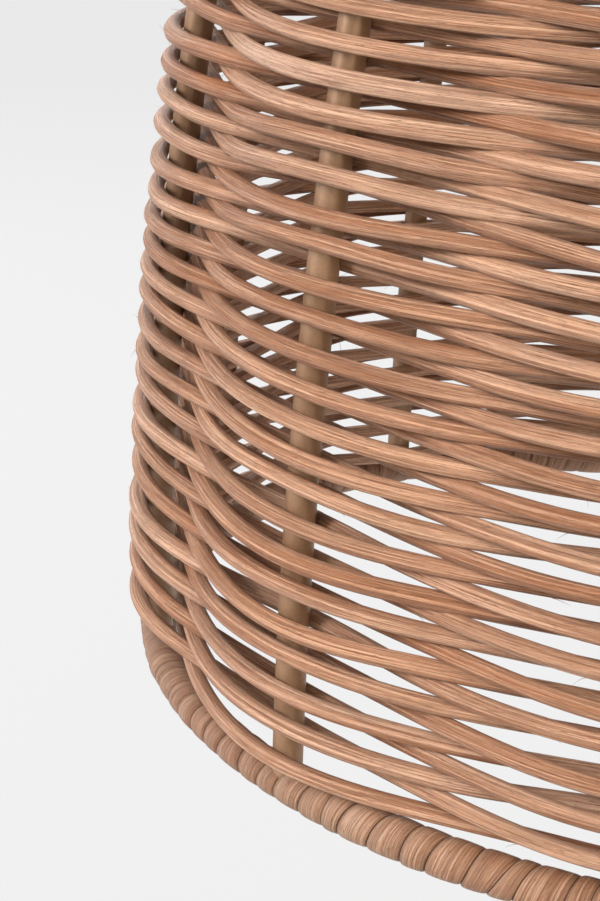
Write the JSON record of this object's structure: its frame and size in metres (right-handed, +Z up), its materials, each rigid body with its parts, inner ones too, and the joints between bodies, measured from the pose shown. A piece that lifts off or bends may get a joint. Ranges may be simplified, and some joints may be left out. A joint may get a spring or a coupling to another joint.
{
  "type": "lamp shade",
  "caption": "Drum-shaped lamp shade, woven from round rattan over upright steel rods, with bound rims and a three-armed fitter.",
  "frame": {"origin": "centre of the fitter ring's hole, level with the ring's top face", "axes": "+Z up along the shade's axis, out of its smaller mouth; +X through the first stake"},
  "size_m": [0.2448, 0.2459, 0.1972],
  "materials": {
    "coated_steel": "satin taupe powder coat",
    "rattan_core": "bare split-fibre rattan core",
    "rattan_peel": "bare flat rattan peel"
  },
  "bodies": {
    "root": {"bottom_ring": "coated_steel", "top_ring": "coated_steel", "stake_01": "coated_steel", "stake_02": "coated_steel", "stake_03": "coated_steel", "stake_04": "coated_steel", "stake_05": "coated_steel", "stake_06": "coated_steel", "stake_07": "coated_steel", "stake_08": "coated_steel", "stake_09": "coated_steel", "stake_10": "coated_steel", "stake_11": "coated_steel", "fitter_arm_1": "coated_steel", "fitter_arm_2": "coated_steel", "fitter_arm_3": "coated_steel", "fitter_ring": "coated_steel", "reed_01": "rattan_core", "reed_02": "rattan_core", "reed_03": "rattan_core", "reed_04": "rattan_core", "reed_05": "rattan_core", "reed_06": "rattan_core", "reed_07": "rattan_core", "reed_08": "rattan_core", "reed_09": "rattan_core", "reed_10": "rattan_core", "reed_11": "rattan_core", "reed_12": "rattan_core", "reed_13": "rattan_core", "bottom_ring_binding": "rattan_peel", "top_ring_binding": "rattan_peel"}
  },
  "joints": []
}
